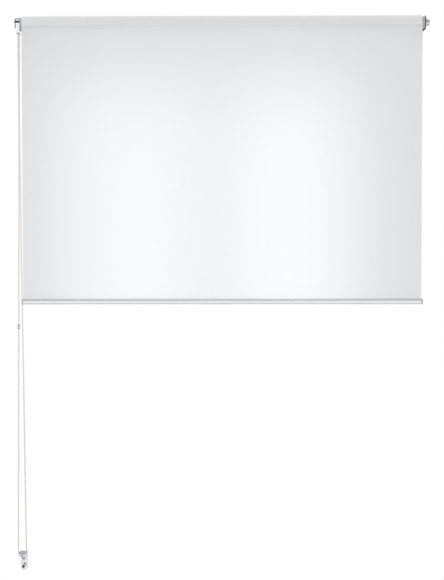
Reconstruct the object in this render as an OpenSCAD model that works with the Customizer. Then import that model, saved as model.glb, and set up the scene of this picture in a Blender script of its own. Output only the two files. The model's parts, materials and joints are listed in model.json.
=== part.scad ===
// Roller blind with a ball-chain clutch, wall brackets, a weighted rail and a chain holder.
// Frame: +X to the right as seen from the room, +Y into the wall, +Z up, wall face at Y = 0.
// Origin: centre of the four bracket screws on the wall face, at the height of the roller's axis.

/* [Cloth] */
// Width of the cloth
cloth_w = 1050; // [700:10:1600]
// Thickness of the cloth
cloth_t = 0.35; // [0.3:0.05:0.4]
// Cloth that hangs between the roller's axis and the hem
cloth_drop = 720; // [300:1:1000]
// Outer radius of the cloth wound on the tube
roll_r = 18.5; // [17:0.5:20]

/* [Roller] */
// Distance from the wall to the roller's axis
axis_out = 32; // [30:1:50]
// Outer radius of the tube
tube_r = 15; // [14.5:0.1:15.5]
// Wall thickness of the tube
tube_wall = 1.2; // [1.0:0.1:1.3]

/* [Brackets] */
// Thickness of the bracket steel
plate_t = 2; // [1.5:0.1:2.5]
// Radius of the control bracket's front end
control_plate_r = 14.6; // [13:0.1:16]
// Radius of the idle bracket's front end
idle_plate_r = 18.2; // [16:0.1:20]
// Length of each wall flange along the wall
flange_len = 30; // [28:1:34]
// Half the distance between the left and right screw columns
screw_x = 522; // [345:1:800]
// Half the distance between a bracket's two screws
screw_z = 8; // [6:0.5:9]
// Radius of the screw holes
screw_hole_r = 2.25; // [2:0.05:2.6]

/* [Chain] */
// Radius of the chain's balls
ball_r = 2.25; // [2:0.05:2.4]
// Pitch radius of the chain wheel
wheel_r = 10.5; // [10:0.1:10.6]
// Depth of the chain's lowest run below the roller's axis
chain_drop = 1408; // [900:1:1700]
// Half the width of the chain's lowest run
run_half = 10.7; // [10.5:0.1:12]

/* [Rail] */
// Height of the bottom rail
rail_h = 13; // [13:0.5:18]
// Depth of the bottom rail, front to back
rail_d = 9; // [8.6:0.1:10]
// Cloth that shows between the weld and the rail's top
hem_show = 6.5; // [3:0.5:8]

/* [Chain holder] */
// Width of the holder
holder_w = 19; // [18.6:0.2:20.4]
// Height of the holder
holder_h = 52; // [48:1:60]

/* [Hidden] */
round_fn = 64;
axis_y = -axis_out;
// Extra length of a cutting shape, and how far joined shapes run into each other
cut = 1;
lap = 0.1;

// Places along X, from the cloth's edge out to each end
edge = cloth_w / 2;
tube_end = edge + 1;
run_gap = 0.3;
drum_l = 48;
drum_in = -(tube_end - drum_l);
drum_face = -(tube_end + run_gap);
drum_flange_t = 3.9;
drum_flange_r = 15.5;
flange_edge = 0.8;
cover_in = drum_face - drum_flange_t - run_gap;
cover_t = 1;
wheel_w = 7.2;
wheel_gap = 0.4;
wheel_in = cover_in - cover_t - wheel_gap;
wheel_mid = wheel_in - wheel_w / 2;
guard_in = wheel_in - wheel_w - run_gap;
control_plate_in = guard_in - cover_t - lap;
control_plate_out = control_plate_in - plate_t;
control_cap_t = 2.4;
control_cap_r = 12;
control_cap_edge = 1;
control_cap_out = control_plate_out - lap - control_cap_t;
plug_face = tube_end + run_gap;
plug_flange_t = 6.2;
plug_flange_r = 15.75;
plug_l = 46;
plug_out = plug_face + plug_flange_t;
plug_in = tube_end - plug_l;
plug_gap = 0.7;
idle_plate_in = plug_out + plug_gap;
idle_plate_out = idle_plate_in + plate_t;
idle_cap_r = 8.25;
idle_cap_t = 9.8;
idle_cap_edge = 1.6;

// Clutch
shaft_r = 5;
run_fit = 0.05;
hub_r = 7.6;
drum_r = tube_r - tube_wall - run_gap;
rib_h = 1;
rib_w = 1.2;
rib_room = 0.6;
guard_wall = 1.4;
guard_r = 14.8;
guard_reach = 25.8;
wheel_rim_r = 13;
wheel_root_r = 8;
pockets = 11;

// Idle end
pin_r = 3;
chamber_r = 6.5;
pin_wall = 14;
collar_t = 3;
seat_t = 4;
pin_past = 5.8;
pin_out = idle_plate_out + pin_past;
bush_r = 5;

// Cloth and rail
sheet_back = axis_y - roll_r - run_gap;
sheet_front = sheet_back - cloth_t;
sheet_mid = (sheet_back + sheet_front) / 2;
hem_z = -cloth_drop;
rail_top = hem_z - hem_show;
rail_mid = rail_top - rail_h / 2;
spline_r = 1.65;
spline_down = 3.4;
spline_z = rail_top - spline_down;
channel_r = 2.3;
rail_cap_t = 4;

// Chain: over the wheel, straight down to each side of the holder and across it
mouth_z = -45;
corner_r = 4;
run_z = -chain_drop;
strand_rings = 24;
front_mouth = [wheel_mid, axis_y - wheel_r, mouth_z];
back_mouth = [wheel_mid, axis_y + wheel_r, mouth_z];
front_foot = [wheel_mid + run_half, axis_y, run_z + corner_r];
back_foot = [wheel_mid - run_half, axis_y, run_z + corner_r];
connector_z = -800;
connector_l = 13;

// Chain holder
// The chain's lowest run lies above the plate's top and below the cradle's top
holder_down = 1;
cradle_up = 3;
holder_top = run_z - holder_down;
holder_plate_t = 2.5;
cradle_d = 12;
cradle_front = axis_y - cradle_d / 2;
cradle_h = 8;
cradle_top = run_z + cradle_up;
holder_screw_up = 13.5;
holder_screw_z = holder_top - holder_h + holder_screw_up;
// How far the seat of the holder's screw stands out from the wall
holder_seat = 16;
holder_pillar_r = 5.5;

// ---- shapes used by several parts ----

// Extrudes a flat outline drawn in Y and Z from one X to another
module along_x(x0, x1) {
    translate([x0, 0, 0]) rotate([90, 0, 90]) linear_extrude(height = x1 - x0) children();
}

// Turns a half outline, radius across and X upwards, about the roller's axis
module turned(x0) {
    translate([x0, axis_y, 0]) rotate([0, 90, 0]) rotate_extrude($fn = round_fn) children();
}

// Plain cylinder along X on the roller's axis
module rod(x0, x1, r) {
    translate([x0, axis_y, 0]) rotate([0, 90, 0]) cylinder(r = r, h = x1 - x0, $fn = round_fn);
}

// Rectangle with round corners, centred
module soft_rect(w, h, r) {
    square([w, h - 2 * r], center = true);
    square([w - 2 * r, h], center = true);
    for (sx = [-1, 1], sy = [-1, 1])
        translate([sx * (w / 2 - r), sy * (h / 2 - r)]) circle(r = r, $fn = 32);
}

// Half outline of a disc of radius r and height h, with its far edge rounded by e
module disc_half(r, h, e) {
    square([r, h - e]);
    square([r - e, h]);
    translate([r - e, h - e]) circle(r = e, $fn = 32);
}

// Four marks round the roller's axis, drawn in Y and Z
module four_round(r0, r1, w) {
    for (i = [0:3])
        translate([axis_y, 0]) rotate(45 + 90 * i) translate([r0, -w / 2]) square([r1 - r0, w]);
}

function unit(v) = v / norm(v);
function straight(a, b, n) = [for (i = [0:n - 1]) a + (b - a) * i / (n - 1)];
// Never parallel to any stretch of the swept paths
sweep_ref = [1, 1, 0.2];
function ring_at(p, t, r, sides) =
    let (u = unit(cross(sweep_ref, t)), v = cross(t, u))
    [for (k = [0:sides - 1]) p + r * (cos(360 * k / sides) * u + sin(360 * k / sides) * v)];

// Sweeps a round section along points; closed joins the last point to the first
module sweep(path, r, sides, closed) {
    n = len(path);
    last = closed ? n : n - 1;
    ahead = [for (i = [0:n - 1]) closed ? path[(i + 1) % n] : path[min(i + 1, n - 1)]];
    behind = [for (i = [0:n - 1]) closed ? path[(i + n - 1) % n] : path[max(i - 1, 0)]];
    points = [for (i = [0:n - 1]) each ring_at(path[i], unit(ahead[i] - behind[i]), r, sides)];
    walls = [for (i = [0:last - 1], k = [0:sides - 1])
        let (a = i * sides + k, b = i * sides + (k + 1) % sides,
            c = ((i + 1) % n) * sides + (k + 1) % sides, d = ((i + 1) % n) * sides + k)
        each [[a, b, c], [a, c, d]]];
    ends = closed ? [] : [
        [for (k = [sides - 1:-1:0]) k],
        [for (k = [0:sides - 1]) (n - 1) * sides + k]];
    polyhedron(points = points, faces = [for (f = concat(walls, ends)) [for (j = [len(f) - 1:-1:0]) f[j]]]);
}

// Helix round the roller's axis
function coil(x0, x1, r, turns, steps) =
    [for (i = [0:turns * steps])
        [x0 + (x1 - x0) * i / (turns * steps),
            axis_y + r * cos(360 * i / steps), r * sin(360 * i / steps)]];

// Bracket: a side plate with a round front end, and a flange on the wall
module bracket(plate_in, plate_out, r, side) {
    along_x(min(plate_in, plate_out), max(plate_in, plate_out)) {
        translate([axis_y, -r]) square([-axis_y, 2 * r]);
        translate([axis_y, 0]) circle(r = r, $fn = round_fn);
    }
    flange_x0 = side > 0 ? plate_out - flange_len : plate_out;
    difference() {
        translate([flange_x0, -plate_t, -r]) cube([flange_len, plate_t, 2 * r]);
        for (sz = [-1, 1])
            translate([side * screw_x, cut, sz * screw_z])
                rotate([90, 0, 0]) cylinder(r = screw_hole_r, h = plate_t + 2 * cut, $fn = round_fn);
    }
}

// ---- control end ----

tenon = 7;
tenon_fit = tenon - 0.1;
module control_bracket() {
    color("gainsboro") difference() {
        bracket(control_plate_in, control_plate_out, control_plate_r, -1);
        translate([control_plate_out - cut, axis_y - tenon / 2, -tenon / 2])
            cube([plate_t + 2 * cut, tenon, tenon]);
    }
}

screw_head_r = 3.4;
screw_head_t = 1.3;
screw_room = 0.4;
module control_cap() {
    color("silver") difference() {
        turned(control_cap_out) mirror([0, 1]) translate([0, -control_cap_t])
            disc_half(control_cap_r, control_cap_t, control_cap_edge);
        rod(control_plate_out - screw_head_t - screw_room, control_plate_out + cut, screw_head_r + screw_room);
    }
}

clutch_bolt_r = 1.5;
clutch_bolt_l = 16;
bolt_room = 0.5;
module clutch_screw() {
    color("dimgray") {
        rod(control_plate_out - screw_head_t, control_plate_out, screw_head_r);
        rod(control_plate_out - 2 * lap, control_plate_out + clutch_bolt_l, clutch_bolt_r);
    }
}

// Fixed shaft: a square tenon in the bracket, a round bearing, and a groove for the clip
clip_x = drum_in + 0.4;
clip_t = 1;
clip_groove = 1;
shaft_nose = 3;
module clutch_shaft() {
    color("whitesmoke") difference() {
        union() {
            translate([control_plate_out, axis_y - tenon_fit / 2, -tenon_fit / 2])
                cube([plate_t + lap, tenon_fit, tenon_fit]);
            rod(control_plate_in + lap, clip_x, shaft_r);
            rod(clip_x - lap, clip_x + clip_t + lap, shaft_r - clip_groove);
            rod(clip_x + clip_t, clip_x + clip_t + shaft_nose, shaft_r);
        }
        rod(control_plate_out - cut, control_plate_out + clutch_bolt_l + bolt_room, clutch_bolt_r);
    }
}

// Outline of the guard: a ring over the wheel with a straight mouth for the two strands
module guard_outline(r, reach) {
    translate([axis_y, 0]) circle(r = r, $fn = round_fn);
    translate([axis_y - r, -reach]) square([2 * r, reach]);
}

module chain_guard() {
    color("silver") difference() {
        along_x(guard_in - cover_t, cover_in - cover_t - lap) guard_outline(guard_r, guard_reach);
        along_x(guard_in, cover_in) guard_outline(guard_r - guard_wall, guard_reach + cut);
        rod(guard_in - cover_t - cut, guard_in + cut, shaft_r + run_fit);
    }
}

module guard_cover() {
    color("silver") difference() {
        along_x(cover_in - cover_t, cover_in) guard_outline(guard_r, guard_reach);
        rod(cover_in - cover_t - cut, cover_in + cut, hub_r + run_gap);
    }
}

// Chain wheel: two rims with ball pockets between ribs, and a hub that drives the drum
groove_half = 2.95;
pocket_rib = 0.4;
pocket_rib_w = 1.2;
hub_l = 9;
dog_l = 4;
dog_h = 2;
dog_up = 1.6;
module chain_wheel() {
    color("white") difference() {
        union() {
            rod(wheel_in - wheel_w, wheel_in, wheel_root_r);
            rod(wheel_in - wheel_w, wheel_mid - groove_half, wheel_rim_r);
            rod(wheel_mid + groove_half, wheel_in, wheel_rim_r);
            for (i = [0:pockets - 1], side = [-1, 1])
                translate([wheel_mid + side * (groove_half - pocket_rib / 2), axis_y, 0])
                    rotate([360 * i / pockets, 0, 0])
                        translate([0, 0, (wheel_root_r + wheel_rim_r) / 2 - run_gap])
                            cube([pocket_rib, pocket_rib_w, wheel_rim_r - wheel_root_r], center = true);
            rod(wheel_in - lap, wheel_in + hub_l, hub_r);
            // The dog that turns the springs loose
            intersection() {
                rod(wheel_in + hub_l - lap, wheel_in + hub_l + dog_l, hub_r);
                translate([wheel_in, axis_y - dog_h, shaft_r + dog_up])
                    cube([hub_l + dog_l + cut, 2 * dog_h, dog_h]);
            }
        }
        rod(wheel_in - wheel_w - cut, wheel_in + hub_l + cut, shaft_r + run_fit);
    }
}

// Two wrap springs that grip the fixed shaft until the chain wheel turns them loose
wrap_r = 5.9;
wrap_wire = 0.45;
wrap_turns = 12;
wrap_pitch = 1.2;
wrap_l = wrap_turns * wrap_pitch;
dog_gap = 0.8;
wrap_gap = 1.4;
wrap_from = wheel_in + hub_l + dog_l + dog_gap;
coil_steps = 16;
module brake_springs() {
    color("silver") for (x = [wrap_from, wrap_from + wrap_l + wrap_gap])
        sweep(coil(x, x + wrap_l, wrap_r, wrap_turns, coil_steps), wrap_wire, 6, false);
}

// Spigot that fits the tube: a round with a groove for each of the tube's inner ribs
module ribbed_round() {
    difference() {
        translate([axis_y, 0]) circle(r = drum_r, $fn = round_fn);
        four_round(drum_r - rib_h - 2 * lap, drum_r + cut, rib_w + rib_room);
    }
}

spring_room_from = wheel_in + hub_l + dog_l + wheel_gap;
spring_room_r = 8.6;
drum_end_wall = 2;
module drive_drum() {
    color("lightgray") difference() {
        union() {
            turned(drum_face - drum_flange_t) mirror([0, 1]) translate([0, -drum_flange_t])
                disc_half(drum_flange_r, drum_flange_t, flange_edge);
            along_x(drum_face - lap, drum_in) ribbed_round();
        }
        rod(drum_face - drum_flange_t - cut, spring_room_from, hub_r + run_gap);
        rod(spring_room_from - lap, drum_in - drum_end_wall, spring_room_r);
        rod(drum_in - drum_end_wall - cut, drum_in + cut, shaft_r + run_fit);
    }
}

clip_r = 7.8;
clip_gap = 4;
module shaft_clip() {
    color("dimgray") difference() {
        rod(clip_x + run_fit, clip_x + clip_t - run_fit, clip_r);
        rod(clip_x - cut, clip_x + clip_t + cut, shaft_r - clip_groove + run_fit);
        translate([clip_x - cut, axis_y - clip_gap / 2, -clip_r - 2 * lap])
            cube([clip_t + 2 * cut, clip_gap, 5]);
    }
}

// ---- roller ----

// Narrow enough that the flat tape's edges stay under the cloth's first turn
tape_slot_w = 5.4;
tape_slot_depth = 0.6;
tape_t = 0.3;
tape_side_gap = 0.3;
tape_w = tape_slot_w - 2 * tape_side_gap;
module roller_tube() {
    color("silver") along_x(-tube_end, tube_end) difference() {
        union() {
            difference() {
                translate([axis_y, 0]) circle(r = tube_r, $fn = round_fn);
                translate([axis_y, 0]) circle(r = tube_r - tube_wall, $fn = round_fn);
            }
            four_round(tube_r - tube_wall - rib_h, tube_r - tube_wall + 2 * lap, rib_w);
        }
        translate([axis_y - tape_slot_w / 2, tube_r - tape_slot_depth]) square([tape_slot_w, tube_wall]);
    }
}

module fabric_tape() {
    color("white") translate([-edge, axis_y - tape_w / 2, tube_r - tape_slot_depth])
        cube([cloth_w, tape_w, tape_t]);
}

module fabric_roll() {
    color("whitesmoke") difference() {
        rod(-edge, edge, roll_r);
        rod(-edge - cut, edge + cut, tube_r + 0.05);
    }
}

module hanging_fabric() {
    color("white") translate([-edge, sheet_front, hem_z]) cube([cloth_w, cloth_t, cloth_drop]);
}

// ---- idle end ----

module idle_plug() {
    color("lightgray") difference() {
        union() {
            turned(plug_face) disc_half(plug_flange_r, plug_flange_t, flange_edge);
            along_x(plug_in, plug_face + lap) ribbed_round();
        }
        rod(plug_in - cut, plug_out - pin_wall, chamber_r);
        rod(plug_out - pin_wall - cut, plug_out + cut, pin_r + run_fit);
    }
}

collar_out = plug_out - pin_wall - run_gap;
pin_tip = 1;
module idle_pin() {
    color("silver") {
        rod(collar_out - collar_t, collar_out, chamber_r - run_gap);
        rod(collar_out - lap, pin_out - pin_tip, pin_r);
        translate([pin_out - pin_tip, axis_y, 0]) rotate([0, 90, 0])
            cylinder(r1 = pin_r, r2 = pin_r - pin_tip, h = pin_tip, $fn = round_fn);
    }
}

spring_wire = 0.5;
spring_turns = 8;
spring_r = 5;
spring_gap = 0.2;
spring_in = plug_in + seat_t + spring_wire + spring_gap;
spring_out = collar_out - collar_t - spring_wire - spring_gap;
module pin_spring() {
    color("gray")
        sweep(coil(spring_in, spring_out, spring_r, spring_turns, coil_steps), spring_wire, 6, false);
}

push_fit = 0.02;
module spring_seat() {
    color("dimgray") difference() {
        rod(plug_in, plug_in + seat_t, chamber_r - push_fit);
        rod(plug_in - cut, plug_in + seat_t + cut, pin_r);
    }
}

module idle_bush() {
    color("white") difference() {
        rod(idle_plate_in, idle_plate_out, bush_r - push_fit);
        rod(idle_plate_in - cut, idle_plate_out + cut, pin_r + run_fit);
    }
}

module idle_bracket() {
    color("gray") difference() {
        bracket(idle_plate_in, idle_plate_out, idle_plate_r, 1);
        rod(idle_plate_in - cut, idle_plate_out + cut, bush_r);
    }
}

pin_room = 1;
module idle_cap() {
    color("silver") difference() {
        turned(idle_plate_out + lap) disc_half(idle_cap_r, idle_cap_t - lap, idle_cap_edge);
        rod(idle_plate_out - cut, pin_out + pin_room, pin_r + pin_room / 2);
    }
}

// ---- chain ----

function over_wheel() = [for (a = [0:15:165])
    [wheel_mid, axis_y + wheel_r * cos(a), wheel_r * sin(a)]];
function corner(side) = [for (a = side > 0 ? [18:18:72] : [72:-18:18])
    [wheel_mid + side * (run_half - corner_r + corner_r * cos(a)), axis_y,
        run_z + corner_r - corner_r * sin(a)]];
chain_route = concat(
    [[wheel_mid, axis_y - wheel_r, 0]],
    straight(front_mouth, front_foot, strand_rings),
    corner(1),
    [for (x = [run_half - corner_r, 0, corner_r - run_half]) [wheel_mid + x, axis_y, run_z]],
    corner(-1),
    straight(back_foot, back_mouth, strand_rings),
    over_wheel());

module ball_chain() {
    color("tan") sweep(chain_route, ball_r, 8, true);
}

// The back strand's direction, and its point at the connector's height
strand_up = unit(back_mouth - back_foot);
connector_at = back_mouth + strand_up * (connector_z - mouth_z) / strand_up[2];
connector_r = 3.4;
ball_room = 0.4;
module chain_connector() {
    color("white") translate(connector_at)
        rotate([-asin(strand_up[1]), atan2(strand_up[0], strand_up[2]), 0]) difference() {
        translate([0, 0, -connector_l / 2]) cylinder(r = connector_r, h = connector_l, $fn = round_fn);
        translate([0, 0, -connector_l]) cylinder(r = ball_r + ball_room, h = 2 * connector_l, $fn = round_fn);
    }
}

// ---- bottom rail ----

slot_half = 0.7;
rail_corner = 3;
// Walls above and below the lower chamber
rail_web = 1;
rail_floor = 1.3;
chamber_d = rail_d - 2 * rail_floor;
chamber_low = rail_top - rail_h + rail_floor;
chamber_h = spline_z - channel_r - rail_web - chamber_low;
chamber_z = chamber_low + chamber_h / 2;
chamber_corner = 1.5;
module rail_section() {
    difference() {
        translate([sheet_mid, rail_mid]) soft_rect(rail_d, rail_h, rail_corner);
        translate([sheet_mid, spline_z]) circle(r = channel_r, $fn = round_fn);
        translate([sheet_mid - slot_half, spline_z]) square([2 * slot_half, rail_h]);
        translate([sheet_mid, chamber_z]) soft_rect(chamber_d, chamber_h, chamber_corner);
    }
}

module bottom_rail() {
    color("silver") along_x(-edge, edge) rail_section();
}

module rail_spline() {
    color("white") along_x(-edge + 1, edge - 1)
        translate([sheet_mid, spline_z]) circle(r = spline_r, $fn = round_fn);
}

// Cloth folded round the spline and welded to itself above the rail
module hem_fabric() {
    color("white") along_x(-edge, edge) difference() {
        union() {
            translate([sheet_mid - cloth_t, spline_z]) square([2 * cloth_t, hem_z - spline_z]);
            translate([sheet_mid, spline_z]) circle(r = spline_r + cloth_t + lap, $fn = round_fn);
        }
        translate([sheet_mid, spline_z]) circle(r = spline_r + run_fit, $fn = round_fn);
    }
}

// Cap: a rounded face a little larger than the rail, and a tongue in its lower chamber
tongue_l = 12;
tongue_gap = 0.1;
cap_rim = 0.3;
cap_rim_z = 0.4;
module rail_cap(side) {
    x0 = side > 0 ? edge : -edge - rail_cap_t;
    tongue_x = side > 0 ? edge - tongue_l : -edge - lap;
    along_x(x0, x0 + rail_cap_t) translate([sheet_mid, rail_mid])
        soft_rect(rail_d + 2 * cap_rim, rail_h + 2 * cap_rim_z, rail_corner + cap_rim);
    along_x(tongue_x, tongue_x + tongue_l + lap) translate([sheet_mid, chamber_z])
        soft_rect(chamber_d - 2 * tongue_gap, chamber_h - 2 * tongue_gap, chamber_corner - tongue_gap);
}

module rail_cap_left() { color("lightgray") rail_cap(-1); }
module rail_cap_right() { color("lightgray") rail_cap(1); }

// ---- chain holder ----

// Back plate with a round foot
module holder_plate() {
    r = holder_w / 2;
    translate([wheel_mid, 0, 0]) rotate([90, 0, 0]) linear_extrude(height = holder_plate_t) {
        translate([-r, holder_top - holder_h + r]) square([holder_w, holder_h - r]);
        translate([0, holder_top - holder_h + r]) circle(r = r, $fn = round_fn);
    }
}

// Two slanting ribs that meet low on the plate, cut off along a line that rises to the cradle
rib_drop = 22;
rib_out = 8.5;
rib_in = 6.5;
rib_point = 0.7;
rib_nose = 7;
rib_top = holder_top - 3;
rib_foot = rib_top - rib_drop;
module holder_ribs() {
    intersection() {
        translate([wheel_mid, -holder_plate_t + lap, 0]) rotate([90, 0, 0])
            linear_extrude(height = -cradle_front - holder_plate_t)
                for (side = [-1, 1])
                    polygon([[side * rib_out, rib_top], [side * rib_in, rib_top],
                        [side * -rib_point, rib_foot], [side * rib_point, rib_foot]]);
        along_x(wheel_mid - holder_w / 2, wheel_mid + holder_w / 2)
            polygon([[0, holder_top], [cradle_front, holder_top], [cradle_front, holder_top - rib_nose],
                [-holder_plate_t, rib_foot], [0, rib_foot]]);
    }
}

// The way that the chain takes through the cradle, open at the top
module chain_way() {
    way_r = ball_r + ball_room;
    along_x(wheel_mid - holder_w, wheel_mid + holder_w) {
        translate([axis_y, run_z]) circle(r = way_r, $fn = round_fn);
        translate([axis_y - way_r, run_z]) square([2 * way_r, cradle_h]);
    }
}

shelf_t = 2.2;
holder_hole_r = 1.8;
module holder_body() {
    color("azure") difference() {
        union() {
            holder_plate();
            holder_ribs();
            translate([wheel_mid, lap - holder_plate_t, holder_screw_z]) rotate([90, 0, 0])
                cylinder(r = holder_pillar_r, h = holder_seat - holder_plate_t + lap, $fn = round_fn);
            translate([wheel_mid - holder_w / 2, cradle_front, cradle_top - cradle_h])
                cube([holder_w, cradle_d, cradle_h]);
            translate([wheel_mid - holder_w / 2, cradle_front, cradle_top - cradle_h])
                cube([holder_w, -cradle_front, shelf_t]);
        }
        chain_way();
        translate([wheel_mid, cut, holder_screw_z]) rotate([90, 0, 0])
            cylinder(r = holder_hole_r, h = holder_seat + 2 * cut, $fn = round_fn);
    }
}

// Snap clip over the chain: a bridge with a leg down each side of the cradle
clip_half = 3.4;
leg_t = 1.2;
leg_h = 5;
bridge_t = 1.5;
module holder_clip() {
    depth = cradle_d + 2 * (leg_t + lap);
    color("azure") translate([wheel_mid - clip_half, axis_y - depth / 2, cradle_top - leg_h]) difference() {
        cube([2 * clip_half, depth, leg_h + lap + bridge_t]);
        translate([-cut, leg_t, -cut]) cube([2 * clip_half + 2 * cut, depth - 2 * leg_t, leg_h + lap + cut]);
    }
}

// Screw into the wall: a neck in the holder's hole, then a thinner shank with a point
holder_head_t = 2.2;
holder_head_r = 3.5;
neck_r = 1.7;
neck_past = 0.5;
shank_r = 1.5;
shank_end = 16;
point_l = 4;
module holder_screw() {
    head_y = holder_seat + run_fit;
    color("black") translate([wheel_mid, 0, holder_screw_z]) rotate([90, 0, 0]) {
        translate([0, 0, head_y]) rotate_extrude($fn = round_fn)
            disc_half(holder_head_r, holder_head_t, flange_edge);
        translate([0, 0, -neck_past]) cylinder(r = neck_r, h = neck_past + head_y + 2 * lap, $fn = round_fn);
        translate([0, 0, -shank_end]) cylinder(r = shank_r, h = shank_end - neck_past + lap, $fn = round_fn);
        translate([0, 0, -shank_end - point_l])
            cylinder(r1 = 0.2, r2 = shank_r, h = point_l, $fn = round_fn);
    }
}

control_bracket();
control_cap();
clutch_screw();
clutch_shaft();
chain_guard();
guard_cover();
chain_wheel();
brake_springs();
drive_drum();
shaft_clip();
roller_tube();
fabric_tape();
fabric_roll();
hanging_fabric();
idle_plug();
idle_pin();
pin_spring();
spring_seat();
idle_bush();
idle_bracket();
idle_cap();
ball_chain();
chain_connector();
hem_fabric();
rail_spline();
bottom_rail();
rail_cap_left();
rail_cap_right();
holder_body();
holder_clip();
holder_screw();
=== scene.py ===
"""Looks of a roller blind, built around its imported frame. Lengths are in metres unless a name says mm."""

import json
import math

import bmesh
import bpy
from mathutils import Matrix, Vector
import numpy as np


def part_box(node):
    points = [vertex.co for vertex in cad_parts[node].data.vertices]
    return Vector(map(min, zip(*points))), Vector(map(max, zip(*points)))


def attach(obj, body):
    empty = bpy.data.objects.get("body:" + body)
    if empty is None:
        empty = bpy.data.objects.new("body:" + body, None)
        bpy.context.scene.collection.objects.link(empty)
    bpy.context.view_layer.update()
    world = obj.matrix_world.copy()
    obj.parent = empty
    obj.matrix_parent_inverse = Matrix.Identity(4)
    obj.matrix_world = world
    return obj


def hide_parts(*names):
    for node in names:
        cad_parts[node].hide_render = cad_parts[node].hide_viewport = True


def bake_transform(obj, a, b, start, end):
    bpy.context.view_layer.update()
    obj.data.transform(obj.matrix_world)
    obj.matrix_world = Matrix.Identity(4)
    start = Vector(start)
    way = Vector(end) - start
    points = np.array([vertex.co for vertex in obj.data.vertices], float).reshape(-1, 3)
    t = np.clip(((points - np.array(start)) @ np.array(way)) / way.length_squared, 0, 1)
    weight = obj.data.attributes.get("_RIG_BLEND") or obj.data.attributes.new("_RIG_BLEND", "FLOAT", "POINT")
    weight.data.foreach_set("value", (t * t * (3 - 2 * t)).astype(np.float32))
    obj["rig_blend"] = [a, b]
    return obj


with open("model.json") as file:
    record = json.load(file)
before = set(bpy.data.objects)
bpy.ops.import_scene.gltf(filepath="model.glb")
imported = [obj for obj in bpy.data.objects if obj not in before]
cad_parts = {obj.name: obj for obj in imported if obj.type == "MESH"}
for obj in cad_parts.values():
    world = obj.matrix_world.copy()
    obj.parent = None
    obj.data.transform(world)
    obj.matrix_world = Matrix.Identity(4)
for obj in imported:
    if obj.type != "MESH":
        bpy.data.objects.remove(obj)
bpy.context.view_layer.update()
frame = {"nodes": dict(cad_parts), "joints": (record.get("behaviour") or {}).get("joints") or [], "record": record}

MM = 0.001

# ---- sizes that come from the frame ----

tube_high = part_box("roller_tube")[1]
roll_low, roll_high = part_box("fabric_roll")
sheet_low, sheet_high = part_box("hanging_fabric")
rail_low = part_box("bottom_rail")[0]
chain_low, chain_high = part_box("ball_chain")
spline_low, spline_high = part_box("rail_spline")

AXIS_Y = (roll_low.y + roll_high.y) / 2
TUBE_R = tube_high.z
ROLL_R = roll_high.z
CLOTH_LEFT = sheet_low.x
CLOTH_RIGHT = sheet_high.x
CLOTH_W = CLOTH_RIGHT - CLOTH_LEFT
CLOTH_T = sheet_high.y - sheet_low.y
SHEET_Y = (sheet_low.y + sheet_high.y) / 2
HEM_Z = sheet_low.z
WHEEL_X = (chain_low.x + chain_high.x) / 2


# ---- mesh helpers ----


def mesh_object(name, points, faces):
    """A new smooth object in the scene from points and faces, with its normals made to agree."""
    mesh = bpy.data.meshes.new(name)
    mesh.from_pydata([tuple(p) for p in points], [], faces)
    shape = bmesh.new()
    shape.from_mesh(mesh)
    bmesh.ops.recalc_face_normals(shape, faces=shape.faces)
    shape.to_mesh(mesh)
    shape.free()
    mesh.polygons.foreach_set("use_smooth", [True] * len(mesh.polygons))
    made = bpy.data.objects.new(name, mesh)
    bpy.context.scene.collection.objects.link(made)
    return made


def grid_faces(rows, columns, closed=False):
    """Quads of a grid of points stored row by row. closed joins the last column to the first."""
    across = columns if closed else columns - 1
    faces = []
    for r in range(rows - 1):
        for c in range(across):
            d = (c + 1) % columns
            faces.append((r * columns + c, r * columns + d, (r + 1) * columns + d, (r + 1) * columns + c))
    return faces


def share(low, high, x):
    """Rises smoothly from 0 at low to 1 at high."""
    t = min(1.0, max(0.0, (x - low) / (high - low)))
    return t * t * (3 - 2 * t)


# ---- materials ----


def new_material(name):
    """A material with its node tree, its Principled shader and its output."""
    material = bpy.data.materials.new(name)
    material.use_nodes = True
    tree = material.node_tree
    return material, tree, tree.nodes["Principled BSDF"], tree.nodes["Material Output"]


def add_node(tree, kind, **inputs):
    """A node of that kind, with the named inputs set."""
    made = tree.nodes.new(kind)
    for name, value in inputs.items():
        made.inputs[name.replace("_", " ")].default_value = value
    return made


def object_point(tree):
    """The surface point in the piece's own space, in metres."""
    return tree.nodes.new("ShaderNodeTexCoord").outputs["Object"]


def noise(tree, at, scale, detail=3.0):
    made = add_node(tree, "ShaderNodeTexNoise", Scale=scale, Detail=detail)
    tree.links.new(at, made.inputs["Vector"])
    return made.outputs["Fac"]


def threads(tree, at, direction, pitch):
    """Bands across one direction that repeat every pitch."""
    made = add_node(tree, "ShaderNodeTexWave", Scale=2 * math.pi / (20 * pitch), Distortion=0.0)
    made.bands_direction = direction
    tree.links.new(at, made.inputs["Vector"])
    return made.outputs["Fac"]


def maths(tree, operation, a, b):
    made = tree.nodes.new("ShaderNodeMath")
    made.operation = operation
    for socket, value in zip(made.inputs, (a, b)):
        if isinstance(value, (int, float)):
            socket.default_value = value
        else:
            tree.links.new(value, socket)
    return made.outputs[0]


def ramp(tree, factor, stops):
    """A colour ramp through (place, grey or colour) stops."""
    made = tree.nodes.new("ShaderNodeValToRGB")
    band = made.color_ramp
    while len(band.elements) < len(stops):
        band.elements.new(0.5)
    for element, (place, colour) in zip(band.elements, stops):
        element.position = place
        grey = isinstance(colour, (int, float))
        element.color = (colour, colour, colour, 1) if grey else (*colour, 1)
    tree.links.new(factor, made.inputs["Fac"])
    return made.outputs["Color"]


def add_bump(tree, shader, height, strength, depth):
    made = add_node(tree, "ShaderNodeBump", Strength=strength, Distance=depth)
    tree.links.new(height, made.inputs["Height"])
    tree.links.new(made.outputs["Normal"], shader.inputs["Normal"])
    return made.outputs["Normal"]


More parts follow.
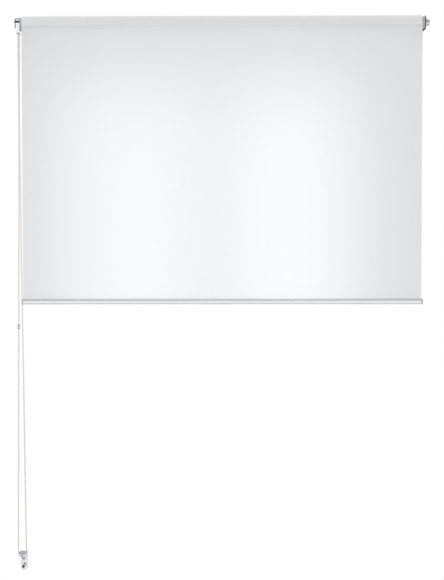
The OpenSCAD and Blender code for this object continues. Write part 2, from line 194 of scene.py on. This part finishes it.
def cloth_material(name, colour, see_through, weld=False):
    """Plain weave that glows where light falls on its back."""
    thread_pitch = 0.55 * MM
    material, tree, shader, output = new_material(name)
    at = object_point(tree)
    warp = threads(tree, at, "X", thread_pitch)
    weft = threads(tree, at, "Z", thread_pitch)
    weave = maths(tree, "MAXIMUM", warp, weft)
    slub = noise(tree, at, 60.0, 4.0)
    if weld:
        weave = maths(tree, "MULTIPLY", weave, threads(tree, at, "X", 4 * thread_pitch))
    tone = maths(tree, "ADD", maths(tree, "MULTIPLY", weave, 0.5), maths(tree, "MULTIPLY", slub, 0.5))
    tint = ramp(tree, tone, [(0.0, tuple(0.955 * c for c in colour)), (1.0, colour)])
    tree.links.new(tint, shader.inputs["Base Color"])
    shader.inputs["Roughness"].default_value = 0.9
    shader.inputs["Sheen Weight"].default_value = 0.15
    shader.inputs["Specular IOR Level"].default_value = 0.2
    normal = add_bump(tree, shader, weave, 0.25, 0.08 * MM)
    glow = tree.nodes.new("ShaderNodeBsdfTranslucent")
    tree.links.new(tint, glow.inputs["Color"])
    tree.links.new(normal, glow.inputs["Normal"])
    both = tree.nodes.new("ShaderNodeMixShader")
    both.inputs["Fac"].default_value = see_through
    tree.links.new(shader.outputs["BSDF"], both.inputs[1])
    tree.links.new(glow.outputs["BSDF"], both.inputs[2])
    tree.links.new(both.outputs["Shader"], output.inputs["Surface"])
    return material


def metal_material(name, colour, roughness, grain="none", depth=0.0, metallic=1.0):
    """Bare or plated metal. grain brushed stretches the marks along X; any other grain, none or mottled, gives the
    same mottled marks.
    """
    material, tree, shader, _ = new_material(name)
    shader.inputs["Metallic"].default_value = metallic
    at = object_point(tree)
    stretch = add_node(tree, "ShaderNodeMapping")
    stretch.inputs["Scale"].default_value = (0.02, 1, 1) if grain == "brushed" else (1, 1, 1)
    tree.links.new(at, stretch.inputs["Vector"])
    marks = noise(tree, stretch.outputs["Vector"], 1400.0 if grain == "brushed" else 260.0, 4.0)
    tint = ramp(tree, marks, [(0.25, tuple(0.93 * c for c in colour)), (0.75, colour)])
    tree.links.new(tint, shader.inputs["Base Color"])
    rough = ramp(tree, marks, [(0.2, max(0.02, roughness * 0.8)), (0.8, roughness * 1.2)])
    tree.links.new(rough, shader.inputs["Roughness"])
    if depth:
        add_bump(tree, shader, marks, 0.3, depth)
    return material


def plastic_material(name, colour, roughness):
    """Moulded plastic with a faint orange peel."""
    material, tree, shader, _ = new_material(name)
    at = object_point(tree)
    peel = noise(tree, at, 900.0, 2.0)
    tint = ramp(tree, noise(tree, at, 40.0), [(0.3, tuple(0.96 * c for c in colour)), (0.7, colour)])
    tree.links.new(tint, shader.inputs["Base Color"])
    shader.inputs["Roughness"].default_value = roughness
    add_bump(tree, shader, peel, 0.15, 0.03 * MM)
    return material


def clear_material(name, colour, roughness, clearness):
    """Moulded plastic that lets that share of the light through."""
    material, tree, shader, _ = new_material(name)
    shader.inputs["Base Color"].default_value = (*colour, 1)
    shader.inputs["Roughness"].default_value = roughness
    shader.inputs["IOR"].default_value = 1.49
    shader.inputs["Transmission Weight"].default_value = clearness
    add_bump(tree, shader, noise(tree, object_point(tree), 300.0), 0.1, 0.05 * MM)
    return material


CLOTH_WHITE = (0.93, 0.937, 0.95)
materials = {
    "bracket_steel": metal_material("plated_steel", (0.34, 0.34, 0.35), 0.16, "mottled", 0.01 * MM),
    "chrome": metal_material("chrome", (0.82, 0.83, 0.86), 0.05),
    "steel": metal_material("plain_steel", (0.6, 0.6, 0.61), 0.3, "mottled"),
    "spring_steel": metal_material("spring_wire", (0.45, 0.45, 0.47), 0.28),
    "white_plastic": plastic_material("white_plastic", (0.86, 0.86, 0.85), 0.4),
    "grey_plastic": plastic_material("grey_plastic", (0.58, 0.58, 0.59), 0.22),
    "cap_plastic": plastic_material("rail_cap_plastic", (0.6, 0.6, 0.61), 0.4),
    "aluminium": metal_material("mill_aluminium", (0.75, 0.76, 0.77), 0.35, "brushed"),
    "rail_aluminium": metal_material("satin_aluminium", (0.86, 0.86, 0.88), 0.27, "brushed", 0.01 * MM),
    "tape": plastic_material("tape", (0.85, 0.85, 0.82), 0.5),
    "cloth": cloth_material("blind_cloth", CLOTH_WHITE, 0.48),
    "chain_steel": metal_material("nickel_balls", (0.92, 0.9, 0.87), 0.3, metallic=0.5),
    "clear_plastic": clear_material("clear_plastic", (0.94, 0.94, 0.97), 0.1, 0.72),
    "black_screw": plastic_material("black_coating", (0.02, 0.02, 0.02), 0.35),
}
wound_cloth = cloth_material("wound_cloth", (0.99, 0.99, 1.0), 0.1)
weld_cloth = cloth_material("welded_hem", CLOTH_WHITE, 0.5, weld=True)

for part in frame["record"]["subparts"]:
    node = frame["nodes"][part["node"]]
    finish = materials[part["material_slot"]]
    if not node.material_slots:
        node.data.materials.append(None)
    for place in node.material_slots:
        place.link = "OBJECT"
        place.material = finish


def soften_edges(names, width):
    """Rounds the sharp edges of pieces from the frame."""
    for name in names:
        edge = frame["nodes"][name].modifiers.new("edge", "BEVEL")
        edge.width = width
        edge.segments = 3
        edge.limit_method = "ANGLE"
        edge.angle_limit = math.radians(50)


soften_edges(["chain_guard"], 1.2 * MM)
soften_edges(["control_bracket", "idle_bracket", "control_cap"], 0.6 * MM)


# ---- camera ----

camera = bpy.data.objects.new("camera", bpy.data.cameras.new("camera"))
bpy.context.scene.collection.objects.link(camera)
camera.data.sensor_width = 36
camera.data.lens = 80
camera.data.clip_end = 50
camera.location = (0.0392, -3.448, -0.563)
camera.rotation_euler = (math.radians(90 - 2.34), math.radians(0.066), math.radians(0.655))
bpy.context.scene.camera = camera


# ---- ball chain ----

BALL_R = 2.25 * MM
BALL_PITCH = 6 * MM
LINK_R = 0.35 * MM
WHEEL_PITCH_R = 10.5 * MM
MOUTH_Z = -45 * MM
RUN_HALF = 10.7 * MM
CORNER_R = 4 * MM
RUN_Z = chain_low.z + BALL_R


def chain_route():
    """Points of the open stretch: down in front from the guard's mouth, across the holder, up behind."""
    foot_z = RUN_Z + CORNER_R
    inner = RUN_HALF - CORNER_R
    route = [Vector((WHEEL_X, AXIS_Y - WHEEL_PITCH_R, MOUTH_Z)), Vector((WHEEL_X + RUN_HALF, AXIS_Y, foot_z))]
    for side, angles in ((1, (18, 36, 54, 72, 90)), (-1, (90, 72, 54, 36, 18))):
        for angle in (math.radians(a) for a in angles):
            x = WHEEL_X + side * (inner + CORNER_R * math.cos(angle))
            route.append(Vector((x, AXIS_Y, foot_z - CORNER_R * math.sin(angle))))
    route.append(Vector((WHEEL_X - RUN_HALF, AXIS_Y, foot_z)))
    route.append(Vector((WHEEL_X, AXIS_Y + WHEEL_PITCH_R, MOUTH_Z)))
    return route


def wheel_route():
    """Points of the rest of the loop: up from the mouth, over the wheel and down again."""
    route = [Vector((WHEEL_X, AXIS_Y + WHEEL_PITCH_R, MOUTH_Z))]
    for step in range(25):
        angle = math.pi * step / 24
        y = AXIS_Y + WHEEL_PITCH_R * math.cos(angle)
        route.append(Vector((WHEEL_X, y, WHEEL_PITCH_R * math.sin(angle))))
    route.append(Vector((WHEEL_X, AXIS_Y - WHEEL_PITCH_R, MOUTH_Z)))
    return route


def route_length(route):
    return sum((b - a).length for a, b in zip(route, route[1:]))


def point_along(route, distance):
    """The point that far along the route, and the direction there."""
    for a, b in zip(route, route[1:]):
        step = (b - a).length
        if distance <= step or b is route[-1]:
            return a.lerp(b, distance / step), (b - a).normalized()
        distance -= step


def ball_template(sides=12, rings=8):
    """Points and faces of a ball, with its poles along Z."""
    points = [Vector((0, 0, -BALL_R))]
    for r in range(1, rings):
        tilt = math.pi * r / rings
        for k in range(sides):
            turn = 2 * math.pi * k / sides
            flat = math.sin(tilt)
            points.append(BALL_R * Vector((flat * math.cos(turn), flat * math.sin(turn), -math.cos(tilt))))
    points.append(Vector((0, 0, BALL_R)))
    top = len(points) - 1
    faces = [tuple(1 + i for i in face) for face in grid_faces(rings - 1, sides, closed=True)]
    for k in range(sides):
        after = (k + 1) % sides
        faces.append((0, 1 + after, 1 + k))
        faces.append((top, top - sides + k, top - sides + after))
    return points, faces


def link_template(sides=6):
    """Points and faces of an open tube of unit length, along Z and centred."""
    points = []
    for z in (-0.5, 0.5):
        for k in range(sides):
            turn = 2 * math.pi * k / sides
            points.append(Vector((LINK_R * math.cos(turn), LINK_R * math.sin(turn), z)))
    return points, grid_faces(2, sides, closed=True)


def bead_string(name, route, count):
    """Balls joined by short links, evenly along a route."""
    pitch = route_length(route) / count
    ball, link = ball_template(), link_template()
    copies = []
    centres = []
    for i in range(count):
        centre, along = point_along(route, (i + 0.5) * pitch)
        turn = along.to_track_quat("Z", "Y").to_matrix().to_4x4()
        copies.append((ball, Matrix.Translation(centre) @ turn))
        centres.append(centre)
    for a, b in zip(centres, centres[1:]):
        span = (b - a).length - 1.8 * BALL_R
        turn = (b - a).to_track_quat("Z", "Y").to_matrix().to_4x4()
        stretch = Matrix.Diagonal((1, 1, span, 1))
        copies.append((link, Matrix.Translation((a + b) / 2) @ turn @ stretch))
    points = []
    faces = []
    for (part_points, part_faces), place in copies:
        first = len(points)
        points += [place @ p for p in part_points]
        faces += [tuple(first + i for i in face) for face in part_faces]
    made = mesh_object(name, points, faces)
    made.data.materials.append(materials["chain_steel"])
    return made


def build_chain():
    free, hidden = chain_route(), wheel_route()
    free_balls = round(route_length(free) / BALL_PITCH)
    hidden_balls = round(route_length(hidden) / BALL_PITCH)
    string = bead_string("bead_chain", free, free_balls)
    over = bead_string("bead_chain_on_wheel", hidden, hidden_balls)
    for piece in (string, over):
        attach(piece, "root")
    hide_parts("ball_chain")


# ---- cloth ----


def build_roll():
    """The wound cloth as one ribbon in a spiral, so that its layers show at both ends."""
    turns = round((ROLL_R - TUBE_R) / CLOTH_T)
    steps = 72
    # A little thinner than the cloth, so that the turns stay apart
    ribbon = 0.86 * CLOTH_T
    outer = []
    inner = []
    for i in range(turns * steps + 1):
        angle = 2 * math.pi * i / steps
        radius = ROLL_R - CLOTH_T * i / steps
        around = Vector((0, -math.cos(angle), math.sin(angle)))
        outer.append(around * radius)
        inner.append(around * (radius - ribbon))
    section = outer + inner[::-1]
    half = len(outer)
    count = len(section)
    points = []
    for x in (CLOTH_LEFT, CLOTH_RIGHT):
        points += [Vector((x, AXIS_Y + p.y, p.z)) for p in section]
    faces = grid_faces(2, count, closed=True)
    for end in (0, count):
        for i in range(half - 1):
            j = count - 1 - i
            faces.append((end + i, end + i + 1, end + j - 1, end + j))
    roll = mesh_object("cloth_roll", points, faces)
    roll.data.set_sharp_from_angle(angle=math.radians(40))
    roll.data.materials.append(wound_cloth)
    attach(roll, "roller")
    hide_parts("fabric_roll")


WRAP = math.radians(165)
# Columns of points across the hanging cloth and the hem, which meet along one line
CLOTH_COLUMNS = 106


def sheet_line():
    """Side view of the unrolled cloth: round the top of the roll, then straight down to the hem."""
    reach = AXIS_Y - SHEET_Y
    tucked = ROLL_R + 0.08 * MM
    line = []
    wrap_steps = 30
    for i in range(wrap_steps):
        angle = WRAP * (1 - i / wrap_steps)
        radius = reach + (tucked - reach) * share(0.0, WRAP, angle)
        line.append(Vector((0, AXIS_Y - radius * math.cos(angle), radius * math.sin(angle))))
    drop_steps = 96
    for i in range(drop_steps + 1):
        line.append(Vector((0, SHEET_Y, HEM_Z * i / drop_steps)))
    return line


def ripple(x, z):
    """How far the hanging cloth stands out of its plane, less than a millimetre anywhere."""
    held = share(0.0, -0.08, z) * (1 - share(HEM_Z + 0.06, HEM_Z, z))
    soft = 0.30 * math.sin(7.1 * x + 1.3) + 0.18 * math.sin(17.3 * x - 2.0 + 1.7 * z)
    edge = min(x - CLOTH_LEFT, CLOTH_RIGHT - x)
    curl = 0.35 * (1 - share(0.0, 0.035, edge)) * math.sin(9.0 * z)
    return MM * held * (soft + curl)


def build_sheet():
    line = sheet_line()
    columns = CLOTH_COLUMNS
    points = []
    for p in line:
        for c in range(columns):
            x = CLOTH_LEFT + CLOTH_W * c / (columns - 1)
            stand = ripple(x, p.z) if p.z < 0 else 0.0
            points.append(Vector((x, p.y - stand, p.z)))
    sheet = mesh_object("cloth_sheet", points, grid_faces(len(line), columns))
    sheet.data.materials.append(materials["cloth"])
    sheet.data.materials.append(wound_cloth)
    for face in sheet.data.polygons:
        face.material_index = 1 if face.center.z > -0.5 * ROLL_R else 0
    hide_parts("hanging_fabric")
    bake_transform(sheet, "root", "rail", start=(0, SHEET_Y, 0), end=(0, SHEET_Y, HEM_Z))
    # The travel is nearly the cloth's length, so the share is made to grow evenly down the cloth
    weights = sheet.data.attributes["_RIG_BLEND"]
    for vertex, weight in zip(sheet.data.vertices, weights.data):
        weight.value = min(1.0, max(0.0, vertex.co.z / HEM_Z))


def build_hem():
    """The end of the cloth below the weld, which goes down into the rail and round its spline."""
    spline_z = (spline_high.z + spline_low.z) / 2
    pocket = (spline_high.z - spline_low.z) / 2 + CLOTH_T
    weld_from, weld_to, weld_steps = HEM_Z - 0.3 * MM, HEM_Z - 2.8 * MM, 10
    line = [(0.0, HEM_Z)]
    for i in range(weld_steps + 1):
        along = i / weld_steps
        pressed = 0.16 * MM * math.sin(math.pi * along) ** 0.5
        line.append((pressed, weld_from + (weld_to - weld_from) * along))
    line.append((0.0, spline_z + pocket))
    loop_steps = 24
    for i in range(1, loop_steps):
        angle = math.radians(90 + 345 * i / loop_steps)
        line.append((pocket * math.cos(angle), spline_z + pocket * math.sin(angle)))
    columns = CLOTH_COLUMNS
    points = []
    for y, z in line:
        for c in range(columns):
            points.append(Vector((CLOTH_LEFT + CLOTH_W * c / (columns - 1), SHEET_Y + y, z)))
    hem = mesh_object("hem_pocket", points, grid_faces(len(line), columns))
    hem.data.materials.append(weld_cloth)
    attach(hem, "rail")
    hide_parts("hem_fabric")


# ---- idle end ----


def build_spring():
    """The coil spring behind the idle pin, pressed together as the pin's collar comes in."""
    low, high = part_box("pin_spring")
    wire, turns, steps, sides = 0.5 * MM, 8, 24, 8
    coil_r = (high.z - low.z) / 2 - wire
    seat, collar = Vector((low.x + wire, AXIS_Y, 0)), Vector((high.x - wire, AXIS_Y, 0))
    rows = turns * steps + 1
    points = []
    for i in range(rows):
        angle = 2 * math.pi * i / steps
        outward = Vector((0, math.cos(angle), math.sin(angle)))
        centre = seat.lerp(collar, i / (rows - 1)) + coil_r * outward
        for k in range(sides):
            turn = 2 * math.pi * k / sides
            points.append(centre + wire * (math.cos(turn) * outward + math.sin(turn) * Vector((1, 0, 0))))
    faces = grid_faces(rows, sides, closed=True)
    faces += [tuple(range(sides)), tuple(range((rows - 1) * sides, rows * sides))]
    spring = mesh_object("return_spring", points, faces)
    spring.data.materials.append(materials["spring_steel"])
    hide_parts("pin_spring")
    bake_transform(spring, "roller", "pin", start=tuple(seat), end=tuple(collar))


# ---- stage and light ----

WORLD_LIGHT = 0.8


def build_stage():
    travel = next(joint for joint in frame["joints"] if joint["name"] == "rail_lift")["range_m"]
    floor_z = rail_low.z + travel[0] - 0.06
    half = 7.0
    # The lower edge of the main view passes above a floor that ends here
    back = 0.9
    corners = [(-half, -half, floor_z), (half, -half, floor_z), (half, back, floor_z), (-half, back, floor_z)]
    floor = mesh_object("floor", corners, [(0, 1, 2, 3)])
    pale, tree, shader, _ = new_material("pale_floor")
    tint = ramp(tree, noise(tree, object_point(tree), 2.0), [(0.3, 0.84), (0.7, 0.86)])
    tree.links.new(tint, shader.inputs["Base Color"])
    shader.inputs["Roughness"].default_value = 0.8
    floor.data.materials.append(pale)


def build_world():
    """White to look at, an even light, and for reflections a studio with soft bands and dark sides."""
    world = bpy.data.worlds.new("studio")
    bpy.context.scene.world = world
    world.use_nodes = True
    tree = world.node_tree
    output = tree.nodes["World Output"]
    point = tree.nodes.new("ShaderNodeTexCoord").outputs["Generated"]
    split = tree.nodes.new("ShaderNodeSeparateXYZ")
    tree.links.new(point, split.inputs["Vector"])
    height = maths(tree, "ADD", maths(tree, "MULTIPLY", split.outputs["Z"], 0.5), 0.5)
    upward = [(0.0, 0.5), (0.06, 0.4), (0.1, 0.01), (0.28, 0.01), (0.33, 1.0), (0.6, 1.0)]
    upward += [(0.62, 0.0), (0.83, 0.0), (0.88, 0.6), (1.0, 0.7)]
    sideways = [(0.0, 1.0), (0.74, 1.0), (0.8, 0.03), (0.93, 0.03), (0.97, 0.8)]
    bands = ramp(tree, height, upward)
    flags = ramp(tree, maths(tree, "ABSOLUTE", split.outputs["X"], 0), sideways)
    mirrored = tree.nodes.new("ShaderNodeBackground")
    tree.links.new(maths(tree, "MULTIPLY", bands, flags), mirrored.inputs["Color"])
    mirrored.inputs["Strength"].default_value = 1.1
    even = tree.nodes["Background"]
    evenness = ramp(tree, height, [(0.0, 1.0), (0.5, 0.98), (0.8, 1.06), (1.0, 1.06)])
    tree.links.new(evenness, even.inputs["Color"])
    even.inputs["Strength"].default_value = WORLD_LIGHT
    plain = tree.nodes.new("ShaderNodeBackground")
    plain.inputs["Color"].default_value = (1, 1, 1, 1)
    ray = tree.nodes.new("ShaderNodeLightPath")
    last = even
    for flag, background in (("Is Glossy Ray", mirrored), ("Is Camera Ray", plain)):
        both = tree.nodes.new("ShaderNodeMixShader")
        tree.links.new(ray.outputs[flag], both.inputs["Fac"])
        tree.links.new(last.outputs[0], both.inputs[1])
        tree.links.new(background.outputs[0], both.inputs[2])
        last = both
    tree.links.new(last.outputs[0], output.inputs["Surface"])


def panel(name, centre, facing, width, height, power):
    """A soft rectangular light that the camera doesn't see."""
    data = bpy.data.lights.new(name, "AREA")
    data.shape = "RECTANGLE"
    data.size = width
    data.size_y = height
    data.energy = power
    made = bpy.data.objects.new(name, data)
    made.location = centre
    made.rotation_euler = Vector(facing).to_track_quat("-Z", "Y").to_euler()
    made.visible_camera = False
    bpy.context.scene.collection.objects.link(made)


def build_lights():
    """Two soft panels behind the cloth, one to each side of its middle."""
    behind = 0.10
    top, bottom = -0.14, -1.0
    for name, x, width in (("back_left", -0.245, 0.36), ("back_right", 0.185, 0.32)):
        panel(name, (x, behind, (top + bottom) / 2), (0, -1, 0), width, top - bottom, 0.635)


build_chain()
build_roll()
build_hem()
build_sheet()
build_spring()
build_stage()
build_world()
build_lights()
bpy.context.scene.view_settings.view_transform = "Standard"
